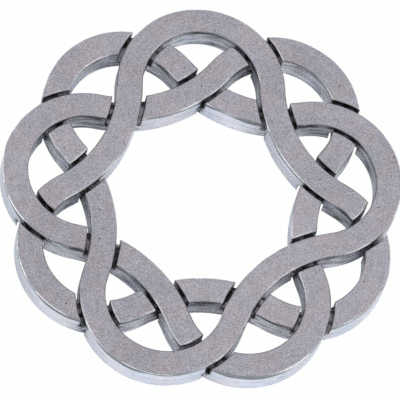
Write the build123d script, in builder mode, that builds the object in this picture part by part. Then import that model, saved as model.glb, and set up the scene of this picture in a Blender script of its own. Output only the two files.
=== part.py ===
from build123d import *
import os
from math import atan2, cos, degrees, radians, sin

# A metal ring puzzle: three flat rings of one outline, turned 40 degrees from each other and woven
# into one thin disc. Where two rings cross, each gives up half of its thickness.
# Millimetres. The origin is the rings' common centre, at the level of the face they rest on, +Z up.

# One ring's outline: three lobes 120 degrees apart, joined by arcs that curve the other way.
lobe_distance = 16.0      # from the ring's centre to the centre of a lobe's arc
lobe_radius = 9.8         # of the bar's middle line, round a lobe
waist_distance = 14.1     # from the ring's centre to the middle line, halfway between two lobes
bar_width = 3.5
thickness = 4.0
edge_break = 0.15         # the bevel along every edge of the two flat faces

# What lets the rings move.
upper_clearance = 0.55    # from a crossing bar to each end of an upper face's notch, and of the gap
under_clearance = 0.35    # from a crossing bar to each end of an under face's notch
lap_clearance = 0.1       # between the two notch floors of a crossing

lobes = 3
lobe_step = 360 / lobes
half_step = lobe_step / 2

# Where each ring's first lobe points, in degrees from +X.
heading = {"split_ring": 90, "middle_ring": 50, "base_ring": 10}

# The weave: which ring passes over which, and the angles from +X of the crossings where it does so.
# Two rings cross six times, evenly spaced round the centre.
crossing_spacing = 60
laps = [
    ("split_ring", "middle_ring", (10, 70, 130)),
    ("middle_ring", "split_ring", (190, 250, 310)),
    ("split_ring", "base_ring", (50, 110, 170)),
    ("base_ring", "split_ring", (230, 290, 350)),
    ("middle_ring", "base_ring", (90, 150)),
    ("base_ring", "middle_ring", (30, 210, 270, 330)),
]
# The split ring is open at one of its crossings with the base ring. The base ring's whole bar fills
# the gap, so neither ring has a notch there.
gap_angle = 350

# The arc between two lobes is tangent to both and passes through the waist point. Its centre lies
# outside the ring, on the line halfway between the lobes.
lobe_inset = waist_distance - lobe_radius
waist_centre_distance = (lobe_distance**2 - lobe_inset**2) / (lobe_distance - 2 * lobe_inset)
waist_radius = waist_centre_distance - waist_distance
waist_centre_x = waist_centre_distance * cos(radians(half_step)) - lobe_distance
waist_centre_y = waist_centre_distance * sin(radians(half_step))
lobe_half_turn = degrees(atan2(waist_centre_y, waist_centre_x))
waist_turn = 2 * (lobe_half_turn - half_step)

tip_radius = lobe_distance + lobe_radius + bar_width / 2
wedge_side = 2 * tip_radius


def polar(distance, angle):
    """The point at this distance from the centre, at this angle from +X."""
    return (distance * cos(radians(angle)), distance * sin(radians(angle)))


def outline(first_lobe, offset, mode):
    """A face inside the ring's middle line, grown outwards by offset."""
    with BuildLine() as loop:
        for lobe in range(lobes):
            lobe_angle = first_lobe + lobe * lobe_step
            waist_angle = lobe_angle + half_step
            CenterArc(
                polar(lobe_distance, lobe_angle),
                lobe_radius + offset,
                lobe_angle - lobe_half_turn,
                2 * lobe_half_turn,
            )
            CenterArc(
                polar(waist_centre_distance, waist_angle),
                waist_radius - offset,
                lobe_angle + lobe_half_turn + 180,
                -waist_turn,
            )
    make_face(loop.edges(), mode=mode)


def band(name, clearance, angles):
    """The ring's bar, widened by a clearance, in a wedge round each of these crossings."""
    for angle in angles:
        Polygon(
            (0, 0),
            polar(wedge_side, angle - crossing_spacing / 2),
            polar(wedge_side, angle + crossing_spacing / 2),
            align=None,
        )
    outline(heading[name], bar_width / 2 + clearance, Mode.INTERSECT)
    outline(heading[name], -bar_width / 2 - clearance, Mode.SUBTRACT)


def make_ring(name):
    """One ring with the notches that its neighbours lie in."""
    middle = thickness / 2
    with BuildPart() as ring:
        with BuildSketch():
            outline(heading[name], bar_width / 2, Mode.ADD)
            outline(heading[name], -bar_width / 2, Mode.SUBTRACT)
        extrude(amount=thickness)
        for upper, lower, angles in laps:
            if {upper, lower} == {"base_ring", "split_ring"}:
                angles = [angle for angle in angles if angle != gap_angle]
            if name == lower:
                with BuildSketch(Plane.XY.offset(middle - lap_clearance / 2)):
                    band(upper, upper_clearance, angles)
                extrude(amount=thickness, mode=Mode.SUBTRACT)
            if name == upper:
                with BuildSketch(Plane.XY.offset(middle + lap_clearance / 2)):
                    band(lower, under_clearance, angles)
                extrude(amount=-thickness, mode=Mode.SUBTRACT)
        if name == "split_ring":
            with BuildSketch():
                band("base_ring", upper_clearance, (gap_angle,))
            extrude(amount=thickness, mode=Mode.SUBTRACT)
        by_height = ring.edges().filter_by(Plane.XY).group_by(Axis.Z)
        chamfer(by_height[0] + by_height[-1], edge_break)
    ring.part.label = name
    return ring.part


os.makedirs("parts", exist_ok=True)
for name in heading:
    export_step(make_ring(name), f"parts/{name}.step")
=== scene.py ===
from math import cos, radians, sin

import bpy
from mathutils import Matrix, Vector


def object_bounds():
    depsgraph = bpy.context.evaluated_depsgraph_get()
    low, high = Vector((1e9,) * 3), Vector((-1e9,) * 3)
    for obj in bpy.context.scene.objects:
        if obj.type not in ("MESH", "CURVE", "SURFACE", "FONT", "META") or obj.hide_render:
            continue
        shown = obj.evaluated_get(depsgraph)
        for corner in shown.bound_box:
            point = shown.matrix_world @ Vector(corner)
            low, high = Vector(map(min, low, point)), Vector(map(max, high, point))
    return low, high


# A woven disc of three metal rings, lying on a white table. Metres, +Z up.
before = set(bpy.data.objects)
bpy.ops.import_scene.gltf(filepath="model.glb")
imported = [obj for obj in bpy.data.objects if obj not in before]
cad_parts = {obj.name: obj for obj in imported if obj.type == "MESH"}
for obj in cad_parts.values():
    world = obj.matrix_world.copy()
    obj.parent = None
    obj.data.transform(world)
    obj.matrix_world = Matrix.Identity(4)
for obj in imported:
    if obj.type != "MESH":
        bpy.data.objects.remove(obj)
cad_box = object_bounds()
low, high = cad_box
mm = 0.001
middle = Vector((0, 0, (low[2] + high[2]) / 2))
thickness_mm = (high[2] - low[2]) / mm


# ---------------------------------------------------------------- camera
view_azimuth = -17.6      # degrees round from -Y towards +X
view_elevation = 65.4
view_roll = 18.1
view_distance = 0.761
view_width = 54.2 * mm    # what the frame takes in at the puzzle's centre
aim_offset = Vector((-0.24 * mm, -0.10 * mm, 0))
nearest_seen, farthest_seen = 0.01, 20


def make_camera():
    camera = bpy.data.objects.new("camera", bpy.data.cameras.new("camera"))
    bpy.context.scene.collection.objects.link(camera)
    turn = (
        Matrix.Rotation(radians(view_azimuth), 4, "Z")
        @ Matrix.Rotation(radians(90 - view_elevation), 4, "X")
        @ Matrix.Rotation(radians(view_roll), 4, "Z")
    )
    back = turn @ (aim_offset + Vector((0, 0, view_distance)))
    camera.matrix_world = Matrix.Translation(middle + back) @ turn
    camera.data.lens = camera.data.sensor_width * view_distance / view_width
    camera.data.clip_start, camera.data.clip_end = nearest_seen, farthest_seen
    bpy.context.scene.camera = camera


# ---------------------------------------------------------------- stage
floor_size = 6
floor_drop = 0.01 * mm     # below the face that the rings rest on
table_white = (0.79, 0.855, 0.885, 1)
table_seen = (0.985, 0.995, 0.985, 1)     # what the camera sees where the table is bare
studio_white = (0.98, 0.98, 1.0, 1)


def make_floor():
    bpy.ops.mesh.primitive_plane_add(size=floor_size, location=(0, 0, low[2] - floor_drop))
    floor = bpy.context.object
    floor.name = "floor"
    material = bpy.data.materials.new("white_table")
    material.use_nodes = True
    nodes, links = material.node_tree.nodes, material.node_tree.links
    nodes.clear()
    out = nodes.new("ShaderNodeOutputMaterial")
    white = nodes.new("ShaderNodeBsdfDiffuse")
    white.inputs["Color"].default_value = table_white
    glow = nodes.new("ShaderNodeEmission")
    glow.inputs["Color"].default_value = table_seen
    path = nodes.new("ShaderNodeLightPath")
    mix = nodes.new("ShaderNodeMixShader")
    links.new(path.outputs["Is Camera Ray"], mix.inputs["Fac"])
    links.new(white.outputs[0], mix.inputs[1])
    links.new(glow.outputs[0], mix.inputs[2])
    links.new(mix.outputs[0], out.inputs["Surface"])
    floor.data.materials.append(material)


def direction(azimuth, elevation):
    """A unit vector. Azimuth runs round from -Y towards +X."""
    a, e = radians(azimuth), radians(elevation)
    return Vector((sin(a) * cos(e), -cos(a) * cos(e), sin(e)))


# Soft patches of the studio that the metal mirrors: azimuth, elevation, inner and outer angle from
# the patch's middle, and the radiance that it adds.
studio_grey = 0.54
patches = [
    (0, 20, 8, 36, -0.46),
    (-90, 12, 12, 40, 0.5),
    (90, 12, 12, 36, 0.25),
    (60, 42, 6, 24, 1.2),
]

# Soft boxes that light the table alone: azimuth, elevation and power.
table_light_distance = 1.2
table_light_size = 0.7
table_lights = [
    (55, 50, 5),
    (-95, 42, 5),
    (-20, 28, 5.8),
    (50, 25, 3.2),
]


def make_world():
    world = bpy.data.worlds.new("studio")
    bpy.context.scene.world = world
    world.use_nodes = True
    nodes, links = world.node_tree.nodes, world.node_tree.links
    background = nodes["Background"]
    background.inputs["Color"].default_value = studio_white
    look = nodes.new("ShaderNodeTexCoord").outputs["Generated"]
    total = studio_grey
    for azimuth, elevation, inner, outer, radiance in patches:
        towards = nodes.new("ShaderNodeVectorMath")
        towards.operation = "DOT_PRODUCT"
        towards.inputs[1].default_value = direction(azimuth, elevation)
        links.new(look, towards.inputs[0])
        fade = nodes.new("ShaderNodeMapRange")
        fade.interpolation_type = "SMOOTHSTEP"
        fade.inputs["From Min"].default_value = cos(radians(outer))
        fade.inputs["From Max"].default_value = cos(radians(inner))
        fade.inputs["To Max"].default_value = radiance
        links.new(towards.outputs["Value"], fade.inputs["Value"])
        add = nodes.new("ShaderNodeMath")
        add.operation = "ADD"
        links.new(fade.outputs[0], add.inputs[0])
        if isinstance(total, float):
            add.inputs[1].default_value = total
        else:
            links.new(total, add.inputs[1])
        total = add.outputs[0]
    links.new(total, background.inputs["Strength"])


def make_table_lights():
    for azimuth, elevation, power in table_lights:
        light = bpy.data.objects.new("table_light", bpy.data.lights.new("table_light", "AREA"))
        light.data.size = table_light_size
        light.data.energy = power
        light.visible_glossy = False
        bpy.context.scene.collection.objects.link(light)
        turn = (
            Matrix.Rotation(radians(azimuth), 4, "Z")
            @ Matrix.Rotation(radians(90 - elevation), 4, "X")
        )
        place = direction(azimuth, elevation) * table_light_distance
        light.matrix_world = Matrix.Translation(place) @ turn


# ---------------------------------------------------------------- shader graphs
class Graph:
    """A material's nodes. Lengths inside a graph are millimetres, in the object's own frame."""

    def __init__(self, name):
        self.material = bpy.data.materials.new(name)
        self.material.use_nodes = True
        self.tree = self.material.node_tree
        self.tree.nodes.clear()

    def node(self, kind, **inputs):
        kind, _, operation = kind.partition("_")
        made = self.tree.nodes.new("ShaderNode" + kind)
        if operation:
            made.operation = operation
        for name, value in inputs.items():
            self.feed(made.inputs[name.replace("_", " ")], value)
        return made

    def feed(self, socket, value):
        if isinstance(value, bpy.types.NodeSocket):
            self.tree.links.new(value, socket)
        else:
            socket.default_value = value

    def math(self, operation, *values):
        made = self.tree.nodes.new("ShaderNodeMath")
        made.operation = operation
        for socket, value in zip(made.inputs, values):
            self.feed(socket, value)
        return made.outputs[0]

    def length(self, x, y):
        squares = self.math("ADD", self.math("MULTIPLY", x, x), self.math("MULTIPLY", y, y))
        return self.math("SQRT", squares)

    def swing(self, value, noise, amount):
        """The value, raised or lowered by a noise about its middle."""
        about = self.math("SUBTRACT", noise, 0.5)
        return self.math("ADD", value, self.math("MULTIPLY", about, amount))

    def fade(self, value, start, end, start_value=0.0, end_value=1.0):
        """A smooth step from start_value at start to end_value at end."""
        made = self.tree.nodes.new("ShaderNodeMapRange")
        made.interpolation_type = "SMOOTHSTEP"
        for socket, number in zip(made.inputs, (value, start, end, start_value, end_value)):
            self.feed(socket, number)
        return made.outputs[0]

    def mix(self, factor, a, b):
        made = self.tree.nodes.new("ShaderNodeMix")
        made.data_type = "RGBA"
        self.feed(made.inputs["Factor"], factor)
        self.feed(made.inputs["A"], a)
        self.feed(made.inputs["B"], b)
        return made.outputs["Result"]

    def noise(self, place, scale, detail=2.0, stretch=(1, 1, 1), offset=0.0):
        mapped = self.node("Mapping", Vector=place, Scale=stretch, Location=(offset, offset * 0.7, 0))
        made = self.node("TexNoise", Vector=mapped.outputs[0], Scale=scale, Detail=detail)
        return made.outputs["Fac"]


# ---------------------------------------------------------------- metal
# The rings cross every 20 degrees, on two circles by turns.
crossing_step = 40
crossing_circles = [(15.9, 10), (23.2, 30)]    # radius and first angle
lobe_step = 120
lobe_circle = 16.0
first_lobe = {"base_ring": 10, "middle_ring": 50, "split_ring": 90}
window_circle = 19.5      # through the middles of the small windows

warm_grey = (0.71, 0.655, 0.70, 1)
cool_grey = (0.655, 0.655, 0.735, 1)
# dark grey for the oxide and for the painted shade
shade_and_oxide_grey = (0.075, 0.078, 0.083, 1)
# edge colours: a painted darker line and a painted highlight, partly dull and burnished metal
dull_edge_shade = (0.5, 0.5, 0.52, 1)
burnished_edge_highlight = (0.95, 0.95, 0.96, 1)
darkest_shade = 0.2
shade_line_blur = 0.2        # either side of the lower border of the painted shade line
edge_roll = 0.4 * mm
grain_height = 0.02 * mm


def distance_from(graph, radius, angle, circle, first, step):
    """Distance in plan from the nearest of the points that stand on a circle, every step degrees."""
    half = radians(step / 2)
    turned = graph.math("WRAP", graph.math("SUBTRACT", angle, radians(first)), half, -half)
    along = graph.math("SUBTRACT", graph.math("MULTIPLY", radius, graph.math("COSINE", turned)), circle)
    across = graph.math("MULTIPLY", radius, graph.math("SINE", turned))
    return graph.length(along, across)


def make_metal(ring, seed):
    graph = Graph(ring + "_metal")
    coordinates = graph.node("TexCoord")
    scaled = graph.node("Mapping", Vector=coordinates.outputs["Object"], Scale=(1 / mm, 1 / mm, 1 / mm))
    place = scaled.outputs[0]
    x, y, z = graph.node("SeparateXYZ", Vector=place).outputs
    normal = graph.node("SeparateXYZ", Vector=coordinates.outputs["Normal"]).outputs
    facing = graph.math("ABSOLUTE", normal[2])
    wall = graph.fade(facing, 0.55, 0.3)
    flat = graph.fade(facing, 0.8, 0.95)
    edge = graph.math("SUBTRACT", graph.math("SUBTRACT", 1.0, wall), flat)
    height = graph.math("ABSOLUTE", graph.math("SUBTRACT", z, thickness_mm / 2))
    radius = graph.length(x, y)
    angle = graph.math("ARCTAN2", y, x)
    # distance in plan from the nearest crossing
    near = graph.math("MINIMUM", *[
        distance_from(graph, radius, angle, circle, first, crossing_step)
        for circle, first in crossing_circles
    ])
    # 1 on the walls that face another bar across a small window, 0 on the rim and in the centre hole
    window_depth = graph.math("ABSOLUTE", graph.math("SUBTRACT", radius, window_circle))
    enclosed = graph.math("MULTIPLY", wall, graph.fade(window_depth, 5.4, 4.0))

    # satin face: fine grain, mottling, and slow changes between a warmer and a cooler grey
    grain = graph.noise(place, 4.8, 2.0, offset=seed * 31)
    mottle = graph.noise(place, 0.8, 3.0, offset=seed * 23 + 8)
    slow = graph.noise(place, 0.09, 1.0, offset=seed * 3 + 2)
    tint = graph.noise(place, 0.25, 3.0, offset=seed * 17 + 5)
    colour = graph.mix(graph.fade(tint, 0.35, 0.65), warm_grey, cool_grey)
    shade = graph.swing(1.0, grain, graph.fade(wall, 0, 1, 1.5, 0.15))
    shade = graph.swing(shade, mottle, 0.34)
    shade = graph.swing(shade, slow, 0.3)

    # faces: faint sanding marks round each lobe, and a few small pits
    lobe_centre = distance_from(graph, radius, angle, lobe_circle, first_lobe[ring], lobe_step)
    marks_place = graph.node("CombineXYZ", X=graph.math("MULTIPLY", lobe_centre, 5.0),
                             Y=graph.math("MULTIPLY", x, 0.25), Z=graph.math("MULTIPLY", y, 0.25)).outputs[0]
    marks = graph.noise(marks_place, 1.0, 2.0, offset=seed * 11 + 3)
    shade = graph.swing(shade, marks, graph.math("MULTIPLY", flat, 0.28))
    cells = graph.node("TexVoronoi", Vector=place, Scale=0.42)
    cells.voronoi_dimensions = "2D"
    kind, depth, _ = graph.node("SeparateColor", Color=cells.outputs["Color"]).outputs
    pit = graph.math("MULTIPLY", graph.math("LESS_THAN", kind, 0.09), graph.fade(depth, 0, 1, 0.25, 0.65))
    pit = graph.math("MULTIPLY", pit, graph.fade(cells.outputs["Distance"], 0.08, 0.03))
    pit = graph.math("MULTIPLY", pit, flat)

    # walls: streaks along the edges, strong where polishing didn't reach, painted light that makes the walls
    # inside the windows lighter, painted shade near the crossings, and a broken parting line
    streak = graph.noise(place, 1.2, 3.0, stretch=(0.3, 0.3, 1.6), offset=seed * 29 + 4)
    strength = graph.math("ADD", graph.math("MULTIPLY", enclosed, 4.2), graph.math("MULTIPLY", wall, 0.25))
    # painted light: the walls inside the small windows are made lighter overall
    shade = graph.swing(graph.math("ADD", shade, graph.math("MULTIPLY", enclosed, 0.22)), streak, strength)
    # painted shade: the walls inside the windows darken towards the crossings, where shade falls
    painted_corner_shade = graph.math("MULTIPLY", enclosed, graph.fade(near, 5.0, 2.2, 0.0, 0.18))
    scuff = graph.noise(place, 0.55, 4.0, stretch=(0.6, 0.6, 2.2), offset=seed * 37 + 7)
    scuff = graph.math("MULTIPLY", wall, graph.fade(scuff, 0.66, 0.72, 0.0, 0.7))
    shade = graph.math("SUBTRACT", shade, graph.math("MAXIMUM", painted_corner_shade, scuff))
    broken = graph.noise(place, 0.3, 3.0, offset=seed * 19 + 6)
    parting = graph.math("MULTIPLY", graph.fade(height, 0.16, 0.05), graph.fade(broken, 0.48, 0.56))
    parting = graph.math("MULTIPLY", wall, graph.math("MULTIPLY", parting, 0.35))
    shade = graph.math("MULTIPLY", shade, graph.math("SUBTRACT", 1.0, graph.math("MAXIMUM", parting, pit)))
    shade = graph.math("MAXIMUM", shade, darkest_shade)
    colour = graph.node("VectorMath_SCALE", Vector=colour, Scale=shade).outputs[0]

    # dark oxide and painted shade: patchy on the notch floors, and on the walls inside the crossings, where
    # shade falls
    patchy = graph.noise(place, 0.9, 3.0, offset=seed * 13 + 2)
    notch_floor = graph.math("MULTIPLY", flat, graph.fade(height, 1.0, 0.5))
    notch_floor_shade_and_oxide = graph.math("MULTIPLY", notch_floor, graph.fade(patchy, 0.6, 0.42, 0.0, 1.0))
    reach = graph.math("ADD", near, graph.fade(patchy, 0.35, 0.65, -0.5, 0.6))
    # oxide and painted shade: the walls darken towards the crossings
    crossing_wall_shade_and_oxide = graph.math("MULTIPLY", wall, graph.fade(reach, 2.4, 1.7))
    shade_and_oxide = graph.math("MAXIMUM", notch_floor_shade_and_oxide, crossing_wall_shade_and_oxide)

    # painted shade: a dark line under each upper edge, uneven in width, and wider in the corners of the
    # windows
    edge_patches = graph.noise(place, 0.22, 3.0, offset=seed * 7 + 1)
    waver = graph.noise(place, 0.16, 1.0, offset=seed * 41 + 3)
    corner = graph.math("MULTIPLY", enclosed, graph.fade(near, 6.0, 2.5, 0.0, 0.2))
    line_width = graph.math("ADD", graph.fade(waver, 0.35, 0.65, 0.9, 0.3), corner)
    line = graph.math("ADD", z, line_width)
    line = graph.fade(line, thickness_mm - shade_line_blur, thickness_mm + shade_line_blur)
    # inside the windows, it is fainter in places
    kept = graph.fade(broken, 0.42, 0.56, graph.fade(enclosed, 0, 1, 0.85, 0.25), 0.9)
    line = graph.math("MULTIPLY", wall, graph.math("MULTIPLY", line, kept))
    shade_and_oxide = graph.math("MAXIMUM", shade_and_oxide, line)
    # oxide and painted shade go on as one dark grey
    colour = graph.mix(shade_and_oxide, colour, shade_and_oxide_grey)

    # edges: a painted highlight in places and a painted darker line elsewhere, partly burnished and dull
    # metal
    edge_wear_and_highlight = graph.mix(graph.fade(edge_patches, 0.46, 0.58), dull_edge_shade, burnished_edge_highlight)
    colour = graph.mix(edge, colour, edge_wear_and_highlight)

    roughness = graph.fade(grain, 0.3, 0.7, 0.36, 0.48)
    roughness = graph.math("SUBTRACT", roughness, graph.math("MULTIPLY", wall, 0.16))
    roughness = graph.math("SUBTRACT", roughness, graph.math("MULTIPLY", edge, 0.25))

    rolled = graph.node("Bevel", Radius=edge_roll)
    relief = graph.fade(wall, 0, 1, 0.25, 0.06)
    bump = graph.node(
        "Bump", Strength=relief, Distance=grain_height, Height=grain, Normal=rolled.outputs[0]
    )
    metal = graph.node("BsdfPrincipled", Base_Color=colour, Roughness=roughness, Normal=bump.outputs[0])
    metal.inputs["Metallic"].default_value = 1.0
    out = graph.node("OutputMaterial")
    graph.feed(out.inputs["Surface"], metal.outputs[0])
    return graph.material


make_camera()
make_floor()
make_world()
make_table_lights()
bpy.context.scene.view_settings.view_transform = "Standard"

for seed, ring in enumerate(first_lobe):
    metal = make_metal(ring, seed)
    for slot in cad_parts[ring].material_slots:
        slot.material = metal
